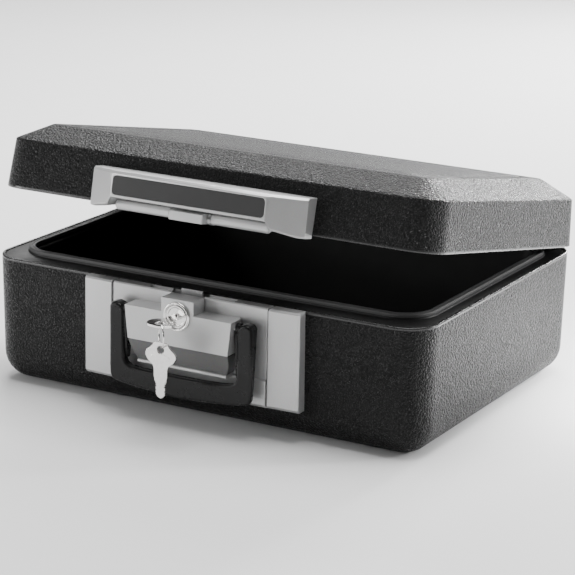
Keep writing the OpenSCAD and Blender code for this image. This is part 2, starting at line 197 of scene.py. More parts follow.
def silver_plastic(name, value):
    """Silver-painted plastic: fine metal flake under a satin skin."""
    m = Nodes(name)
    flake = m.node("ShaderNodeTexVoronoi", {"Vector": m.place, "Scale": 2600.0}).outputs["Color"]
    drift = m.ramp(m.noise(11.0, 3.0, 0.55), 0.3, 0.7)
    color = m.mix(drift, grey(value), grey(value * 1.12))
    color = m.mix(0.06, color, flake)
    rough = m.ramp(m.noise(90.0, 4.0, 0.6), 0.3, 0.7, 0.33, 0.42)
    normal = m.bump(m.noise(1700.0, 2.0, 0.5), 0.000012)
    return m.finish(color=color, rough=rough, metal=0.55, normal=normal)


def plated_metal(name, value, warm, rough_low, rough_high):
    """Plated metal with fine brushed lines and small marks."""
    m = Nodes(name)
    stretch = m.node("ShaderNodeMapping", {"Vector": m.place, "Scale": (60.0, 60.0, 2400.0)}).outputs[0]
    lines = m.node("ShaderNodeTexNoise", {"Vector": stretch, "Scale": 1.0, "Detail": 3.0}).outputs["Fac"]
    marks = m.noise(420.0, 5.0, 0.7)
    color = m.mix(m.ramp(marks, 0.35, 0.65), grey(value * 0.86, warm), grey(value, warm))
    rough = m.ramp(marks, 0.3, 0.7, rough_low, rough_high)
    return m.finish(color=color, rough=rough, metal=1.0, normal=m.bump(lines, 0.000006))


def cast_mineral():
    """Rough pale fill, hidden inside the shells."""
    m = Nodes("cast_mineral")
    mottle = m.ramp(m.noise(180.0, 6.0, 0.7), 0.35, 0.65)
    color = m.mix(mottle, (0.42, 0.40, 0.37, 1), (0.66, 0.64, 0.60, 1))
    return m.finish(color=color, rough=0.92, normal=m.bump(m.noise(700.0, 6.0, 0.7), 0.0006))


# The finish of each material slot. Two more are for single pieces of their slots: rim, and a darker silver for the
# lock block's chin, which is painted shade on its downward-facing slope.
FINISHES = {
    "shell": pebbled_plastic("shell_plastic", 0.006, 0.009),
    "liner": smooth_plastic("liner_plastic", 0.016, 0.022, 0.42, 0.55, specular=0.3),
    "rim": smooth_plastic("rim_plastic", 0.016, 0.022, 0.22, 0.32, specular=0.6),
    "seal": smooth_plastic("seal_rubber", 0.085, 0.11, 0.45, 0.60, 2400.0, 0.00004),
    "silver": silver_plastic("silver_plastic", 0.50),
    # Same silver plastic made darker: painted shade for the downward-facing chin.
    "painted_shade_silver": silver_plastic("painted_shade_silver_plastic", 0.10),
    "label": smooth_plastic("label_plastic", 0.018, 0.024, 0.40, 0.50),
    "handle": smooth_plastic("handle_plastic", 0.005, 0.008, 0.24, 0.34, 1100.0, 0.00003, 0.26),
    "nickel": plated_metal("nickel_plate", 0.80, 0.015, 0.10, 0.22),
    "steel": plated_metal("zinc_steel", 0.50, 0.0, 0.28, 0.45),
    "bracket": smooth_plastic("bracket_coat", 0.022, 0.030, 0.35, 0.50, 900.0, 0.00004),
    "insulation": cast_mineral(),
}


# Mesh tools ----------------------------------------------------------------

SHARP = 32


def mesh_object(name, verts, faces, lid):
    """A closed mesh from millimetre points, at its place in metres. The lid's pieces are turned open."""
    mesh = bpy.data.meshes.new(name)
    mesh.from_pydata([tuple(v) for v in verts], [], faces)
    if lid:
        mesh.transform(LID_MATRIX)
    mesh.transform(Matrix.Scale(MM, 4))
    work = bmesh.new()
    work.from_mesh(mesh)
    bmesh.ops.remove_doubles(work, verts=work.verts, dist=1e-6)
    bmesh.ops.recalc_face_normals(work, faces=work.faces)
    work.to_mesh(mesh)
    work.free()
    made = bpy.data.objects.new(name, mesh)
    bpy.context.scene.collection.objects.link(made)
    return made


def shade(made, sharp):
    """Smooth shading, apart from edges sharper than the given angle in degrees."""
    for polygon in made.data.polygons:
        polygon.use_smooth = True
    made.data.set_sharp_from_angle(angle=radians(sharp))


def piece(name, verts, faces, body, slot, lid=False, stands_for=(), finish=None, sharp=SHARP,
          bevel=0.0, segments=3, bevel_angle=30):
    """A finished piece that rides on its body and stands for the named CAD nodes."""
    made = mesh_object(name, verts, faces, lid)
    made.data.materials.append(FINISHES[finish or slot])
    shade(made, sharp)
    if bevel:
        add_bevel(made, bevel, segments, bevel_angle)
    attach(made, body)
    if stands_for:
        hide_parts(*stands_for)
    return made


def add_bevel(made, width, segments, angle=30):
    """Rounds a piece's edges that turn by more than the angle."""
    step = made.modifiers.new("round_edges", "BEVEL")
    step.width = width * MM
    step.segments = segments
    step.limit_method = "ANGLE"
    step.angle_limit = radians(angle)
    step.harden_normals = True
    step.miter_outer = "MITER_ARC"


def cut(made, *cutters):
    """Takes the cutters away from a piece for good, before its bevel."""
    for cutter in cutters:
        step = made.modifiers.new("cut", "BOOLEAN")
        step.operation = "DIFFERENCE"
        step.solver = "EXACT"
        step.object = cutter
        while made.modifiers[0] != step:
            made.modifiers.move(made.modifiers.find(step.name), 0)
        with bpy.context.temp_override(object=made, active_object=made, selected_objects=[made]):
            bpy.ops.object.modifier_apply(modifier=step.name)
        bpy.data.objects.remove(cutter)
    shade(made, SHARP)


def cutter(verts, faces, lid=False):
    """A throwaway solid for cut()."""
    return mesh_object("cutter", verts, faces, lid)


def block(low, high):
    """Corner points and faces of a box."""
    verts = [(x, y, z) for x in (low[0], high[0]) for y in (low[1], high[1]) for z in (low[2], high[2])]
    faces = [(0, 1, 3, 2), (4, 6, 7, 5), (0, 4, 5, 1), (2, 3, 7, 6), (0, 2, 6, 4), (1, 5, 7, 3)]
    return verts, faces


def loft(rings, closed=False):
    """Skin over rings of equal length. Ends are capped unless the rings close on themselves."""
    count = len(rings[0])
    verts = [point for ring in rings for point in ring]
    faces = []
    spans = len(rings) if closed else len(rings) - 1
    for i in range(spans):
        low = i * count
        high = (i + 1) % len(rings) * count
        for j in range(count):
            k = (j + 1) % count
            faces.append((low + j, low + k, high + k, high + j))
    if not closed:
        faces.append(tuple(reversed(range(count))))
        faces.append(tuple(range((len(rings) - 1) * count, len(rings) * count)))
    return verts, faces


def round_ring(hx, hy, r, z, steps=14):
    """Points round a rounded rectangle at height z."""
    r = max(r, 0.2)
    points = []
    for sx, sy, start in ((1, 1, 0), (-1, 1, 90), (-1, -1, 180), (1, -1, 270)):
        for i in range(steps + 1):
            a = radians(start + 90 * i / steps)
            points.append((sx * (hx - r) + r * cos(a), sy * (hy - r) + r * sin(a), z))
    return points


def arc(cx, cy, r, start, end, steps):
    """Points along a circular arc in a plane, angles in degrees."""
    turns = [radians(start + (end - start) * i / steps) for i in range(steps + 1)]
    return [(cx + r * cos(a), cy + r * sin(a)) for a in turns]


def join(*parts):
    """Several (verts, faces) as one."""
    verts = []
    faces = []
    for part_verts, part_faces in parts:
        start = len(verts)
        verts += list(part_verts)
        faces += [tuple(start + i for i in face) for face in part_faces]
    return verts, faces


def slab(outline, low, high, place):
    """An outline pushed from low to high; place turns (u, v, w) into a point."""
    rings = [[place(u, v, w) for u, v in outline] for w in (low, high)]
    return loft(rings)


def facing(u, v, w):
    """Outline in X and Z, depth measured forwards from the shell's front."""
    return (u, FRONT - w, v)


def mirror(outline):
    """The right half of an outline, from top to bottom, made whole."""
    return outline + [(-x, y) for x, y in reversed(outline) if abs(x) > 1e-6]


def turned(profile, steps=72):
    """Rings of a solid turned about the lock's axis: profile is (radius, distance in front of the shell)."""
    rings = []
    for r, off in profile:
        turns = [2 * pi * i / steps for i in range(steps)]
        rings.append([(r * cos(a), FRONT - off, LOCK_Z + r * sin(a)) for a in turns])
    return rings


def tube(path, r, sides):
    """Round wire along an open path of points."""
    path = [Vector(p) for p in path]
    rings = []
    last = len(path) - 1
    side = Vector((1, 0, 0))
    for i, point in enumerate(path):
        ahead = path[min(i + 1, last)] - path[max(i - 1, 0)]
        ahead.normalize()
        side = (side - ahead * side.dot(ahead)).normalized()
        other = ahead.cross(side)
        turns = [2 * pi * j / sides for j in range(sides)]
        rings.append([point + side * r * cos(a) + other * r * sin(a) for a in turns])
    return loft(rings)


def side_name(name, side):
    """The name of one of a pair: side is -1 on the left and 1 on the right."""
    return name + ("_left" if side < 0 else "_right")


# Shells --------------------------------------------------------------------


def wall_ring(inset, r, z):
    """A ring that lies the given distance inside the outer walls."""
    return round_ring(HALF_W - inset, HALF_D - inset, r, z)


def hinge_pockets():
    """Cutters that open the back for the two hinge cups."""
    low, high = box_mm("hinge_cups")
    made = []
    for x in (low[0], high[0] - POCKET_W):
        made.append(cutter(*block((x, low[1], low[2]), (x + POCKET_W, HALF_D + 20, RIM_Z + 20))))
    return made


def base_shell():
    """Outer tub: rounded foot, leaning sides, a rim turned over to the inside."""
    rings = []
    for i in range(9):
        a = radians(90 * i / 8)
        inset = LEAN + FOOT_R * (1 - sin(a))
        rings.append(wall_ring(inset, FOOT_R * sin(a) + 1.5, FOOT_R * (1 - cos(a))))
    for z in (50, 80, RIM_Z - 3.4):
        part = (z - FOOT_R) / (RIM_Z - FOOT_R)
        rings.append(wall_ring(LEAN * (1 - part), FOOT_R + 1.5 + 1.5 * part, z))
    rings.append(wall_ring(0.15, CORNER_R - 0.15, RIM_Z - 2.2))
    rings.append(wall_ring(SKIN, CORNER_R - SKIN, RIM_Z - 2.0))
    rings.append(wall_ring(SKIN + LEAN, FOOT_R - SKIN, FOOT_R))
    rings.append(wall_ring(FOOT_R + LEAN, 2, SKIN))
    made = piece("base_shell_skin", *loft(rings), "base", "shell", stands_for=("base_shell",), sharp=50)
    cut(made, *hinge_pockets())


def bead_ring(name, body, edge, up, lid=False, back=None):
    """Smooth bead along a shell's edge. It faces up with 1, down with -1, and stops short of y = back."""
    r = 1.3
    foot = edge - up * 2.4
    profile = [(0.02, foot)]
    for i in range(7):
        a = radians(15 * i)
        profile.append((r - r * cos(a), edge - up * (r - r * sin(a))))
    profile += [(r + 0.9, edge), (r + 1.4, edge - up * 0.3), (r + 1.6, edge - up * 1.0), (r + 1.6, foot)]
    rings = [wall_ring(u, CORNER_R - u, z) for u, z in profile]
    made = piece(name, *loft(rings, closed=True), body, "shell", lid=lid, sharp=60, finish="rim")
    if back is not None:
        cut(made, cutter(*block((-HALF_W - 9, back, edge - 9), (HALF_W + 9, HALF_D + 9, edge + 9)), lid=lid))


def room_wall(z, grow=0.0):
    """Half sizes and corner radius of the document space at height z."""
    part = min(max((z - ROOM_LOW) / (RIM_Z - 33), 0), 1)
    inset = ROOM_TAPER * (1 - part)
    return ROOM_X - inset + grow, ROOM_Y - inset + grow, 12 + 6 * part + grow


def base_liner():
    """Inner tub, from its underside out to the ledge, over the seal's ridge and down into the room."""
    wall = 2.5
    hx, hy, r = room_wall(ROOM_LOW, wall)
    rings = [round_ring(hx - 10, hy - 10, 4, 18)]
    rings.append(round_ring(hx - 2, hy - 2, r - 2, 24))
    rings.append(round_ring(hx, hy, r, ROOM_LOW))
    rings.append(round_ring(*room_wall(RIM_Z - 5, wall), RIM_Z - 5))
    ledge = RIM_Z - 0.5
    for inset, z in ((3.1, RIM_Z - 4), (3.1, ledge - 0.8), (3.4, ledge - 0.2), (4.2, ledge)):
        rings.append(wall_ring(inset, CORNER_R - inset, z))
    # The ridge under the seal, half a millimetre wider than the seal on both sides
    for grow, z in ((0.8, ledge), (0.5, ledge + 0.4), (0.3, RIM_Z + RIDGE), (-6.3, RIM_Z + RIDGE),
                    (-6.5, ledge + 0.4)):
        rings.append(round_ring(SEAL_X + grow, SEAL_Y + grow, 30 + grow, z))
    lip = 2.2
    for u, v in arc(lip, -lip, lip, 90, 180, 5):
        rings.append(round_ring(ROOM_X + u, ROOM_Y + u, 18 + u, ledge + v))
    for z in (90, 60, 34):
        rings.append(round_ring(*room_wall(z), z))
    hx, hy, r = room_wall(ROOM_LOW)
    for u, v in arc(12, 12, 12, 180, 270, 7):
        rings.append(round_ring(hx - u, hy - u, max(12 - u, 0) + 1, 20 + v))
    made = piece("base_liner_tub", *loft(rings), "base", "liner", stands_for=("base_liner",), sharp=50)
    cut(made, *hinge_pockets())


def rim_seal():
    """Rounded seal with a shallow line along the middle of its top."""
    width = 6
    r = 1.3
    groove = 0.35
    profile = [(0.1, RIM_Z - 1.4), (0.1, RIM_Z + RIDGE)]
    profile += [(0.2 + u, v) for u, v in arc(r, SEAL_TOP - r, r, 180, 90, 5)]
    profile += [(2.4, SEAL_TOP), (2.7, SEAL_TOP - groove), (3.3, SEAL_TOP - groove), (3.6, SEAL_TOP)]
    profile += arc(width - r, SEAL_TOP - r, r, 90, 0, 5)
    profile += [(width, RIM_Z - 1.4)]
    rings = [round_ring(SEAL_X - u, SEAL_Y - u, 30 - u, z) for u, z in profile]
    piece("rim_seal_tongue", *loft(rings, closed=True), "base", "seal", stands_for=("rim_seal",))


def lid_slope(part, drop=0.0):
    """A ring on the lid's slope: part 0 at the sides' top, 1 at the flat top."""
    x = LID_LEAN + (TOP_IN_X - LID_LEAN) * part
    y = LID_LEAN + (TOP_IN_Y - LID_LEAN) * part
    z = LID_Z + LID_SIDE + (LID_TOP - LID_Z - LID_SIDE) * part - drop
    return round_ring(HALF_W - x, HALF_D - y, CORNER_R - (CORNER_R - 8) * part, z)


def lid_top_ring(inset, z, r=8.0):
    """A ring inside the flat top's edge."""
    return round_ring(HALF_W - TOP_IN_X - inset, HALF_D - TOP_IN_Y - inset, max(r - inset, 1.5), z)


def lid_shell():
    """Outer lid, from its inside over the lower edge and up to the panel line on its flat top."""
    rings = [lid_top_ring(4, LID_TOP - 3.4), lid_top_ring(0, LID_TOP - 3.6)]
    rings.append(wall_ring(LID_LEAN + 3.4, CORNER_R - 3, LID_Z + LID_SIDE - 1.6))
    rings.append(wall_ring(SKIN, CORNER_R - 3, LID_Z + 1.2))
    rings.append(wall_ring(2.3, CORNER_R - 2.3, LID_Z + 0.2))
    for u, v in arc(1.3, 1.3, 1.3, 270, 180, 5):
        rings.append(wall_ring(u, CORNER_R - u, LID_Z + v))
    for z in (3.2, 14, 27):
        rings.append(wall_ring(LID_LEAN * z / LID_SIDE, CORNER_R, LID_Z + z))
    for drop in (3.0, 1.6, 0.55):
        rings.append(wall_ring(LID_LEAN - 0.05 * drop, CORNER_R, LID_Z + LID_SIDE - drop))
    rings.append(lid_slope(0.022, 0.12))
    for part in (0.07, 0.2, 0.4, 0.6, 0.8, 0.94):
        rings.append(lid_slope(part))
    rings.append(lid_slope(0.985, 0.08))
    rings.append(lid_top_ring(0.9, LID_TOP - 0.06))
    panel = 13
    for inset, drop in ((3, 0), (panel - 1.6, 0), (panel - 0.6, 0.35), (panel, 0.9), (panel + 1.8, 0.9),
                        (panel + 2.4, 0.35), (panel + 3.4, 0), (60, 0)):
        rings.append(lid_top_ring(inset, LID_TOP - drop, 12))
    piece("lid_shell_skin", *loft(rings), "lid", "shell", lid=True, stands_for=("lid_shell",), sharp=50)


def lid_liner():
    """Inner lid: a flange that meets the seal, then a tray that rises into the lid."""
    flange = LID_Z + 5
    rings = [round_ring(161, 100, 14, LID_Z + 26.2), round_ring(171, 112.2, 20, flange + 3.2)]
    for inset, z in ((3.6, flange + 3), (3.2, LID_Z + 1.4), (4.0, LID_Z + 0.3)):
        rings.append(wall_ring(inset, CORNER_R - inset, z))
    lip_x = HALF_W - 10.9
    lip_y = HALF_D - 17.8
    for grow, r, z in ((1, 32.5, LID_Z + 0.3), (0, 31.5, LID_Z + 1.3), (-0.4, 31, flange)):
        rings.append(round_ring(lip_x + grow, lip_y + grow, r, z))
    rings.append(round_ring(174.5, 117.5, 20, flange))
    for u, v in arc(2, 2, 2, 270, 180, 4):
        rings.append(round_ring(171.5 - u, 113.5 - u, 18, flange + v))
    for u, v in arc(0, 0, 5, 0, 90, 5):
        rings.append(round_ring(156 + u, 95 + u * 1.2, 12, LID_Z + 19 + v))
    piece("lid_liner_tray", *loft(rings), "lid", "liner", lid=True, stands_for=("lid_liner",), sharp=50)


# Front plate and lock --------------------------------------------------------

PLATE_X = 100.5
PLATE_LOW = 25.5
CROWN = 12.0
FIELD_OFF = 10.0
SHELF_Z = 49.5
GROOVE_X = 73.3
GROOVE_W = 1.3
# Block over the middle, its slot and its chin
BLOCK_OFF = 28.2
BLOCK_LOW = 69
BLOCK_TOP = 96.8
CHIN_X = 46.5
BOSS_X = 15
SLOT_FRONT = 11.5
SLOT_BACK = 0.4
SLOT_LOW = 80
# Keys: half of a blade's thickness, and of the raised pads and ribs on it
BLADE = 1
PAD = 1.12
RIB = 1.06


def shell_lean(z):
    """How far the shell's front lies behind its rim at height z."""
    return -LEAN * (RIM_Z - z) / (RIM_Z - FOOT_R)


def lock_plate():
    """Two crowned wings, a centre field between two grooves, and the dark seams in the grooves."""
    inner = GROOVE_X - GROOVE_W
    for side in (-1, 1):
        rings = []
        for z, drop in ((PLATE_LOW, 3.6), (PLATE_LOW + 3.0, 0.0), (RIM_Z - 1.6, 0.0), (RIM_Z, 1.6)):
            back = shell_lean(z) + 0.1
            plan = [(GROOVE_X, back), (GROOVE_X, CROWN - 0.8 - drop), (PLATE_X - 1.8, 10.1 - drop),
                    (PLATE_X, 8.6 - 0.7 * drop), (PLATE_X, back)]
            rings.append([(side * x, FRONT - off, z) for x, off in plan])
        piece(side_name("lock_plate", side), *loft(rings), "base", "silver", bevel=0.35)
    rings = []
    for z, off in ((PLATE_LOW, 8.4), (PLATE_LOW + 3.0, CROWN), (SHELF_Z - 1.0, CROWN),
                   (SHELF_Z, CROWN - 0.6), (SHELF_Z, FIELD_OFF), (RIM_Z - 1.2, FIELD_OFF), (RIM_Z, 8.8)):
        back = shell_lean(z) + 0.1
        plan = [(inner, back), (inner, off), (-inner, off), (-inner, back)]
        rings.append([(x, FRONT - deep, z) for x, deep in plan])
    made = piece("lock_plate_front", *loft(rings), "base", "silver", stands_for=("lock_plate",), bevel=0.3)
    # Slots for the latch, the cam and the badge's lower edge
    above = RIM_Z + 10
    slot = BOSS_X - 1
    cut(
        made,
        cutter(*block((-slot, FRONT - SLOT_FRONT, SLOT_LOW), (slot, FRONT - SLOT_BACK, above))),
        cutter(*block((-19.7, FRONT - 9.3, 86), (0, FRONT - SLOT_BACK, above))),
        cutter(*block((-40, FRONT - 8, RIM_Z - 1.8), (40, FRONT - 2, above))),
    )
    for side in (-1, 1):
        ends = sorted((side * (inner - 0.3), side * (GROOVE_X + 0.3)))
        seam = block((ends[0], FRONT - 8.3, PLATE_LOW + 0.6), (ends[1], FRONT - 1, RIM_Z - 2))
        piece(side_name("lock_plate_seam", side), *seam, "base", "silver")


def lock_block():
    """The block round the lock: a face that narrows downwards, a boss, a chin that leans back, in a darker silver
    that is painted shade, and a lip.
    """
    outline = [(49.5, BLOCK_TOP), (48.2, 84), (CHIN_X, BLOCK_LOW), (-CHIN_X, BLOCK_LOW), (-48.2, 84),
               (-49.5, BLOCK_TOP), (-BOSS_X, BLOCK_TOP), (-BOSS_X, RIM_Z), (BOSS_X, RIM_Z),
               (BOSS_X, BLOCK_TOP)]
    made = piece("lock_block", *slab(outline, SLOT_FRONT, BLOCK_OFF, facing), "base", "silver", bevel=1.1,
                 segments=4)
    cut(made, cutter(*loft(turned([(10.85, 5), (10.85, 40)]))))
    behind = FIELD_OFF - 0.1
    rings = []
    for part in (0, 0.25, 0.5, 0.7, 0.85, 1):
        half = CHIN_X - 4.6 * part ** 2.2
        off = BLOCK_OFF - 0.1 - 8.0 * part
        plan = [(-half, behind), (-half, off), (half, off), (half, behind)]
        rings.append([(x, FRONT - deep, BLOCK_LOW - 18.4 * part) for x, deep in plan])
    # The chin's darker silver is painted shade, standing in for the shade on its downward-facing slope.
    piece("lock_block_chin", *loft(rings), "base", "silver", bevel=1.0, finish="painted_shade_silver")
    lip = [(behind, 47.4)] + arc(19.6, 49.2, 1.8, -90, 90, 8) + [(behind, 51.0)]
    rings = [[(x, FRONT - off, z) for off, z in lip] for x in (-41.6, 41.6)]
    piece("lock_block_lip", *loft(rings), "base", "silver", bevel=0.5)
    back = block((-47, FRONT - SLOT_FRONT - 0.5, BLOCK_LOW), (47, FRONT - behind, BLOCK_TOP - 0.1))
    piece("lock_block_back", *back, "base", "silver")


def lock_parts():
    """Nickel collar with a rolled edge, and the plug's dished face with its keyway."""
    inner = 9.6
    profile = [(inner, COLLAR_FACE - 3), (COLLAR_R - 0.4, COLLAR_FACE - 1.8), (COLLAR_R, COLLAR_FACE - 1.5)]
    for u, v in ((0.0, 0.9), (0.25, 0.35), (0.8, 0.0), (1.5, 0.05)):
        profile.append((COLLAR_R - u, COLLAR_FACE - v))
    profile += [(inner + 0.5, COLLAR_FACE - 0.35), (inner, COLLAR_FACE - 0.9)]
    piece("lock_collar_ring", *loft(turned(profile), closed=True), "base", "nickel",
          stands_for=("lock_collar",), sharp=40)
    centre = 0.02
    profile = [(centre, 18), (9.4, 18), (9.4, 0.5), (9.1, 0.1), (8.6, 0), (7.9, 0.1), (7.5, 0.55),
               (7.0, 0.7), (3.0, 0.35), (centre, 0.3)]
    rings = turned([(r, PLUG_FACE - v) for r, v in profile])
    made = piece("lock_plug_face", *loft(rings), "plug", "nickel", stands_for=("lock_plug",))
    cut(
        made,
        cutter(*block((-4.7, FRONT - 40, LOCK_Z - 1.2), (4.7, FRONT - PLUG_FACE + 3, LOCK_Z + 1.2))),
        cutter(*block((-0.9, FRONT - 40, LOCK_Z - 2.6), (0.9, FRONT - PLUG_FACE + 2, LOCK_Z + 2.6))),
    )


def key_outline(width, length):
    """A key's outline, from the top of the bow to the tip, with its origin at the hole."""
    w = width / 2
    half = [(0, 6.4), (4.6, 6.1), (6.6, 5.0), (7.6, 3.2), (9.6, 1.2), (w - 1.2, -1.2), (w, -3.6),
            (w - 0.2, -6.0), (w - 1.8, -8.8), (w - 4.2, -11.2), (w - 6.8, -13.0), (6.6, -14.6),
            (6.2, -16.4), (6.2, -22.6), (5.6, -23.4), (5.6, -25.4), (4.9, -26.2)]
    depths = (0.5, 1.0, 0.3, 0.9, 0.5)
    pitch = (length - 31) / len(depths)
    for i, depth in enumerate(depths):
        z = -27.4 - i * pitch
        half += [(4.5, z), (4.5 - depth, z - pitch * 0.35), (4.5 - depth, z - pitch * 0.65)]
    half += [(4.2, -length + 3.4), (2.2, -length + 1.0), (0, -length)]
    return mirror(half)


def ellipse(rx, ry, middle=0, steps=28):
    """Outline of an ellipse that is centred on X and raised to the given middle."""
    turns = [2 * pi * i / steps for i in range(steps)]
    return [(rx * cos(a), middle + ry * sin(a)) for a in turns]


def spare_key():
    """Cut key that hangs flat against the front, with a raised pad on its bow and two ribs."""

    def place(u, v, w):
        return (KEY_HANG.x + u, KEY_HANG.y - w, KEY_HANG.z - 1.8 + v)

    made = piece("spare_key_blank", *slab(key_outline(28, 40), -BLADE, BLADE, place), "hanging_key",
                 "nickel", bevel=0.28, segments=2, stands_for=("spare_key",))
    cut(made, cutter(*slab(ellipse(3.3, 3.3), -3, 3, place)))
    pad = slab(ellipse(8.6, 3.4, -6.6), -PAD, PAD, place)
    piece("spare_key_pad", *pad, "hanging_key", "nickel", bevel=0.2)
    for side in (-1, 1):
        x = side * 1.9
        rib = slab([(x - 0.5, -18), (x + 0.5, -18), (x + 0.5, -36), (x - 0.5, -36)], -RIB, RIB, place)
        piece(side_name("spare_key_rib", side), *rib, "hanging_key", "nickel", bevel=0.2)


def lock_key():
    """The key in the lock, lying flat, with its shank in the keyway."""

    def place(u, v, w):
        return (u, KEY_HOLE.y - v, LOCK_Z + w)

    shank = KEY_HOLE.y - FRONT + PLUG_FACE - 2.5
    half = [(0, 7.6), (4.0, 7.2), (7.6, 5.8), (10.4, 3.4), (11.8, 0.2), (12, -3.2), (11.2, -6.4),
            (9.2, -9.2), (6.4, -11.2), (4.8, -12.6), (4.5, -14.5), (4.5, shank), (0, shank)]
    made = piece("lock_key_blank", *slab(mirror(half), -BLADE, BLADE, place), "plug", "nickel", bevel=0.28,
                 segments=2, stands_for=("lock_key",))
    cut(made, cutter(*slab(ellipse(4.2, 4.2), -3, 3, place)))
    pad = slab(ellipse(8.2, 2.2, -7.2), -PAD, PAD, place)
    piece("lock_key_pad", *pad, "plug", "nickel", bevel=0.2)


def key_ring():
    """Split ring of two turns side by side."""
    low, high = box_mm("key_ring")
    centre = Vector([(low[i] + high[i]) / 2 for i in range(3)])
    heading = atan2(centre.x, KEY_HOLE.y - centre.y)
    radius = (high[2] - low[2]) / 2 - 0.7
    ahead = Vector((sin(heading), -cos(heading), 0))
    across = Vector((cos(heading), sin(heading), 0))
    path = []
    turns = 2
    steps = 48
    for i in range(turns * steps + 1):
        a = 2 * pi * i / steps + 0.6
        shift = -0.4 + 0.8 * i / (turns * steps)
        path.append(centre + ahead * radius * cos(a) + Vector((0, 0, radius * sin(a))) + across * shift)
    piece("key_ring_coil", *tube(path, 0.47, 10), "ring", "nickel", stands_for=("key_ring",))


def catch_tab():
    """Upright tab in the slot, with the barb that the latch's snap arm passes."""
    half = 10
    top = box_mm("catch_tab")[1][2]
    plate = block((-half, FRONT - 5.6, SLOT_LOW), (half, FRONT - 4, top))
    foot = block((-half, FRONT - 4, SLOT_LOW), (half, FRONT - SLOT_BACK, SLOT_LOW + 2))
    piece("catch_tab_plate", *join(plate, foot), "base", "silver", bevel=0.35, stands_for=("catch_tab",))
    profile = ((5.5, 109.5), (6.8, 109.5), (5.5, top - 0.1))
    barb = [[(x, FRONT - off, z) for off, z in profile] for x in (4, half)]
    piece("catch_tab_barb", *loft(barb), "base", "silver", bevel=0.15)


# Handle ----------------------------------------------------------------------


def carry_handle():
    """Bail handle: flat arms, a bowed grip with a bead along its top, and a boss and a web on each arm."""
    low, high = box_mm("carry_handle")
    half = high[0]
    arm_in = half - 14
    mid = PIVOT.y
    depth = (high[1] - low[1]) / 2
    top = PIVOT.z + depth
    grip_low = 26.0
    taper_z = top - 8

    def behind(z):
        """The handle thins from behind towards its grip."""
        return -depth + 5.6 * min(max((taper_z - z) / (taper_z - grip_low), 0), 1)

    outer = [(half - 6, top), (half - 2.2, top - 1.0), (half, top - 4.2), (half, 42), (half - 0.4, 34.5),
             (half - 2.0, 31.4), (half - 5.0, 29.6)]
    bow = [(half - 6 - (half - 6) * i / 8, 29.2 - 4.4 * sin(pi / 2 * i / 8)) for i in range(1, 9)]
    inner = [(0, 43.0), (20, 43.2), (38, 43.8), (arm_in - 6, 44.8), (arm_in - 2.0, 46.6), (arm_in, 50.5),
             (arm_in, top - 4.2), (half - 9.8, top - 1.0)]
    right = outer + bow
    outline = right + [(-x, z) for x, z in reversed(right[:-1])]
    outline += [(-x, z) for x, z in reversed(inner)] + inner[1:]
    rings = [[(x, mid - behind(z), z) for x, z in outline], [(x, mid - depth, z) for x, z in outline]]
    piece("carry_handle_bail", *loft(rings), "handle", "handle", stands_for=("carry_handle",), sharp=40,
          bevel=3.0, segments=6, bevel_angle=60)
    bead = [(-arm_in + 3, 46.0), (-38, 44.6), (-20, 44.0), (0, 43.8), (20, 44.0), (38, 44.6),
            (arm_in - 3, 46.0)]
    path = [(x, mid - depth + 2.6, z - 1.2) for x, z in bead]
    piece("carry_handle_bead", *tube(path, 1.3, 12), "handle", "handle")
    for side in (-1, 1):
        turns = [2 * pi * i / 32 for i in range(32)]
        boss = [[(side * x, mid - 4.6 * cos(a), PIVOT.z + 4.6 * sin(a)) for a in turns]
                for x in (arm_in - 1.7, arm_in + 2)]
        piece(side_name("carry_handle_boss", side), *loft(boss), "handle", "handle", bevel=0.6)
        near = side * (arm_in - 1.9)
        far = side * (arm_in + 3)
        web = []
        for z, w in ((PIVOT.z - 3, 4.0), (PIVOT.z - 6, 4.4), (60, 3.2), (52, 2.4), (50, 1.2)):
            web.append([(near, mid + w, z), (near, mid - w, z), (far, mid - w, z), (far, mid + w, z)])
        piece(side_name("carry_handle_web", side), *loft(web), "handle", "handle", bevel=0.5)


# Lid badge and latch ---------------------------------------------------------

# The badge's ends, where they start to fall back, its flanks, and its heights with the lid shut
BADGE_X = 99.4
BADGE_END = 12
BADGE_MID = 71
BADGE_WALL = 75
BADGE_SLANT = 93
BADGE_OFF = 28
BADGE_LOW = 106.6
BADGE_TOP = 138.8
BROW_Z = 116.4
LABEL_Z = 126.8
LABEL_W = 140
LABEL_H = 15.6
# Latch bar, under the brow
ROD_Z = 111
ROD_OFF = 16
ROD_R = 4.2
SPRING_R = 4.5


def badge_section(off, low, top=2.6, ease=2.0):
    """A section of the badge that reaches the given distance forwards and down to the given height."""
    return [(0.2, low), (off - 1.6, low), (off, low + 1.4), (off, BADGE_TOP - top),
            (off - ease, BADGE_TOP - 0.5), (-1, BADGE_TOP)]


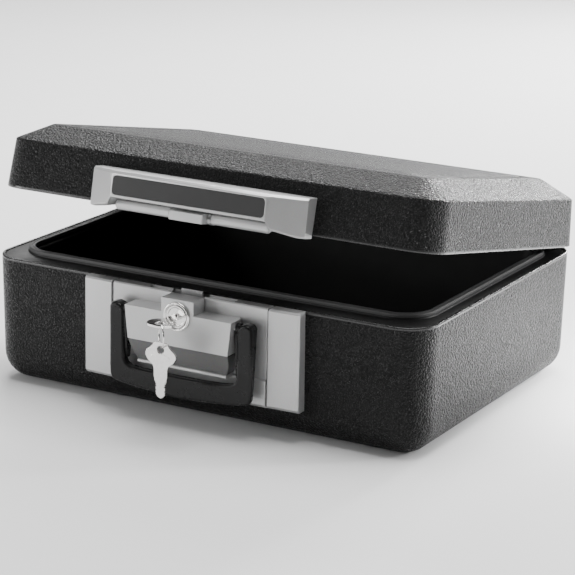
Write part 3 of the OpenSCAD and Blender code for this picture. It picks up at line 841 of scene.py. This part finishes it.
def lid_badge():
    """Silver front piece with slanted ends, a recess for the label and the lock's keeper."""
    deep = BADGE_OFF
    brow = [(1, BROW_Z), (deep - 1.5, BROW_Z), (deep, BROW_Z + 0.8), (deep, BADGE_TOP - 2.8),
            (deep - 2.2, BADGE_TOP - 0.5), (-1, BADGE_TOP)]
    sections = [(BADGE_MID, brow)]
    for x, low in ((BADGE_WALL, BADGE_LOW + 3.6), (BADGE_SLANT, BADGE_LOW)):
        fold = BADGE_END + (deep - BADGE_END) * (BADGE_X - x) / (BADGE_X - BADGE_MID)
        sections.append((x, badge_section(fold, low)))
    sections.append((BADGE_X, badge_section(BADGE_END, BADGE_LOW, 2.4, 1.6)))

    def place(x, off, z):
        """The badge's back follows the lid's lean."""
        if off <= 1:
            off -= LID_LEAN * max(z - LID_Z, 0) / LID_SIDE
        return (x, FRONT - off, z)

    both = [(-x, section) for x, section in reversed(sections)] + sections
    rings = [[place(x, off, z) for off, z in section] for x, section in both]
    made = piece("lid_badge_front", *loft(rings), "lid", "silver", lid=True, bevel=0.9,
                 stands_for=("lid_badge",), sharp=25)
    cut(made, cutter(*round_slab(LABEL_W, LABEL_H, 3.2, LABEL_Z, deep - 0.8, deep + 5), lid=True))
    foot = (0, FRONT - 10.9, 107.2)
    keeper = join(block(foot, (4, FRONT - 9.4, BROW_Z + 0.3)), block(foot, (4, FRONT - 7.3, 108.9)))
    piece("lid_badge_keeper", *keeper, "lid", "silver", lid=True, bevel=0.2)


def round_slab(width, height, r, middle, low, high):
    """A rounded panel facing forwards, centred on X."""
    outline = [(x, z + middle) for x, z, _ in round_ring(width / 2, height / 2, r, 0, 8)]
    return slab(outline, low, high, facing)


def badge_label():
    """Blank panel that fills the badge's recess."""
    panel = round_slab(LABEL_W - 0.4, LABEL_H - 0.3, 3.0, LABEL_Z, BADGE_OFF - 0.8, BADGE_OFF - 0.15)
    piece("badge_label_panel", *panel, "lid", "label", lid=True, bevel=0.2, stands_for=("badge_label",))


def rod_ring(x, radius, count=40):
    """Points of a circle round the latch's axis."""
    turns = [2 * pi * i / count for i in range(count)]
    return [(x, FRONT - ROD_OFF - radius * cos(a), ROD_Z + radius * sin(a)) for a in turns]


def latch_bar():
    """Two rods with a collar at their inner ends, the block between them and its snap arm."""
    steps = ((15.3, ROD_R - 0.4), (19.1, ROD_R - 0.4), (19.3, ROD_R + 0.1), (19.6, ROD_R + 0.5),
             (20.4, ROD_R + 0.5), (20.8, ROD_R), (69.6, ROD_R), (70.6, ROD_R - 0.9))
    for side in (-1, 1):
        rings = [rod_ring(side * x, radius) for x, radius in steps]
        piece(side_name("latch_rod", side), *loft(rings), "latch", "silver", lid=True)
    profile = [(13, 107.6), (17, 106.5), (27, 106.5), (27, 114.0), (22, 115.1), (13, 115.1)]
    rings = [[(x, FRONT - off, z) for off, z in profile] for x in (-15.5, 15.5)]
    piece("latch_block", *loft(rings), "latch", "silver", lid=True, bevel=0.8, stands_for=("latch_bar",))
    near = 6
    far = 11
    arm = join(block((near, FRONT - 13.5, 108), (far, FRONT - 8.5, 111.5)),
               block((near, FRONT - 9.2, 105.9), (far, FRONT - 7.6, 111.5)),
               block((near, FRONT - 7.7, 105.9), (far, FRONT - 6.2, 107.2)))
    piece("latch_snap_arm", *arm, "latch", "silver", lid=True, bevel=0.2)


def latch_springs():
    """A short coil on each rod, next to the block."""
    turns = 3
    steps = 24
    for side in (-1, 1):
        path = []
        for i in range(turns * steps + 1):
            a = 2 * pi * i / steps
            x = side * (16.3 + 2.3 * i / (turns * steps))
            path.append((x, FRONT - ROD_OFF - SPRING_R * cos(a), ROD_Z + SPRING_R * sin(a)))
        stands_for = ("latch_springs",) if side < 0 else ()
        piece(side_name("latch_coil", side), *tube(path, 0.4, 8), "lid", "steel", lid=True,
              stands_for=stands_for)


# Carried-over CAD nodes --------------------------------------------------------


def finish_cad():
    """Gives each CAD node its slot's finish, and rounds the edges of the small steel parts."""
    slots = {part["node"]: part["material_slot"] for part in frame["record"]["subparts"]}
    for name, made in frame["nodes"].items():
        made.data.materials.clear()
        made.data.materials.append(FINISHES[slots[name]])
    small = ("hinge_cups", "hinge_leaves", "lock_cam", "hinge_cup_screws", "hinge_leaf_screws", "cam_screw")
    for name in small:
        add_bevel(frame["nodes"][name], 0.25, 2)


# Room --------------------------------------------------------------------------


def floor():
    """Wide slab of pale paper under the object."""
    wide = 9000
    verts, faces = block((-wide, -wide, -20), (wide, wide, 0))
    mesh = bpy.data.meshes.new("floor")
    mesh.from_pydata([(x * MM, y * MM, z * MM) for x, y, z in verts], [], faces)
    made = bpy.data.objects.new("floor", mesh)
    bpy.context.scene.collection.objects.link(made)
    m = Nodes("floor_paper")
    color = m.mix(m.ramp(m.noise(3.0, 3.0, 0.5), 0.3, 0.7), grey(0.86), grey(0.88))
    mesh.materials.append(m.finish(color=color, rough=0.9, specular=0.2))


def studio():
    """Soft room, brighter behind and above the object than in front of it, and its lights in metres."""
    world = bpy.data.worlds.new("studio")
    bpy.context.scene.world = world
    world.use_nodes = True
    tree = world.node_tree
    background = tree.nodes["Background"]
    place = tree.nodes.new("ShaderNodeTexCoord")
    toward = tree.nodes.new("ShaderNodeVectorMath")
    toward.operation = "DOT_PRODUCT"
    toward.inputs[1].default_value = (-0.25, 0.75, 0.61)
    tree.links.new(place.outputs["Generated"], toward.inputs[0])
    spread = tree.nodes.new("ShaderNodeMapRange")
    for index, value in ((1, -0.4), (2, 1.0), (3, 0.08), (4, 0.5)):
        spread.inputs[index].default_value = value
    tree.links.new(toward.outputs["Value"], spread.inputs[0])
    background.inputs[0].default_value = (1, 1, 1, 1)
    tree.links.new(spread.outputs[0], background.inputs[1])
    softbox("back", (0.2, 2.1, 0.75), (0.1, 0, 0.15), 0.6, 0.4, 75)
    softbox("right_back", (2.3, 1.5, 0.85), (0.1, 0, 0.08), 0.25, 0.25, 45)
    softbox("right_floor", (0.35, 0.20, 0.11), (0.35, 0.20, 0), 0.16, 0.32, 2.2)
    softbox("left_back", (-1.1, 1.5, 1.5), (0, 0, 0.12), 0.7, 0.7, 26)
    softbox("overhead", (0.1, 0.3, 2.4), (0, 0, 0), 1.6, 1.6, 84)
    softbox("front_left", (-1.6, -2.0, 0.9), (0, 0, 0.08), 0.9, 0.9, 12)
    softbox("left_near", (-0.75, -0.65, 0.15), (-0.1, -0.17, 0.06), 0.3, 0.2, 2)


def softbox(name, place, target, width, height, power):
    """A rectangular light at a place, aimed at a target."""
    light = bpy.data.lights.new(name, "AREA")
    light.shape = "RECTANGLE"
    light.size = width
    light.size_y = height
    light.energy = power
    made = bpy.data.objects.new(name, light)
    made.location = place
    aim = Vector(target) - Vector(place)
    made.rotation_euler = aim.to_track_quat("-Z", "Y").to_euler()
    bpy.context.scene.collection.objects.link(made)


def camera():
    """Looks past the handle's side, slightly down and a little rolled."""
    azimuth = radians(29.07)
    elevation = radians(15.99)
    roll = radians(1.196)
    aim = Vector((0.0004, 0, 0.0757))
    distance = 2.0435
    data = bpy.data.cameras.new("camera")
    data.sensor_width = 36
    data.lens = 149.5
    data.clip_end = 50
    made = bpy.data.objects.new("camera", data)
    back = Vector((sin(azimuth) * cos(elevation), -cos(azimuth) * cos(elevation), sin(elevation)))
    right = Vector((cos(azimuth), sin(azimuth), 0))
    up = back.cross(right)
    right, up = right * cos(roll) + up * sin(roll), up * cos(roll) - right * sin(roll)
    turn = Matrix((right, up, back)).transposed().to_4x4()
    made.matrix_world = Matrix.Translation(aim + back * distance) @ turn
    bpy.context.scene.collection.objects.link(made)
    bpy.context.scene.camera = made


finish_cad()
base_shell()
bead_ring("base_rim_bead", "base", RIM_Z, 1)
base_liner()
rim_seal()
lid_shell()
bead_ring("lid_rim_bead", "lid", LID_Z - 0.65, -1, lid=True, back=118)
lid_liner()
lock_plate()
lock_block()
lock_parts()
catch_tab()
lock_key()
key_ring()
spare_key()
carry_handle()
lid_badge()
badge_label()
latch_bar()
latch_springs()
floor()
studio()
camera()
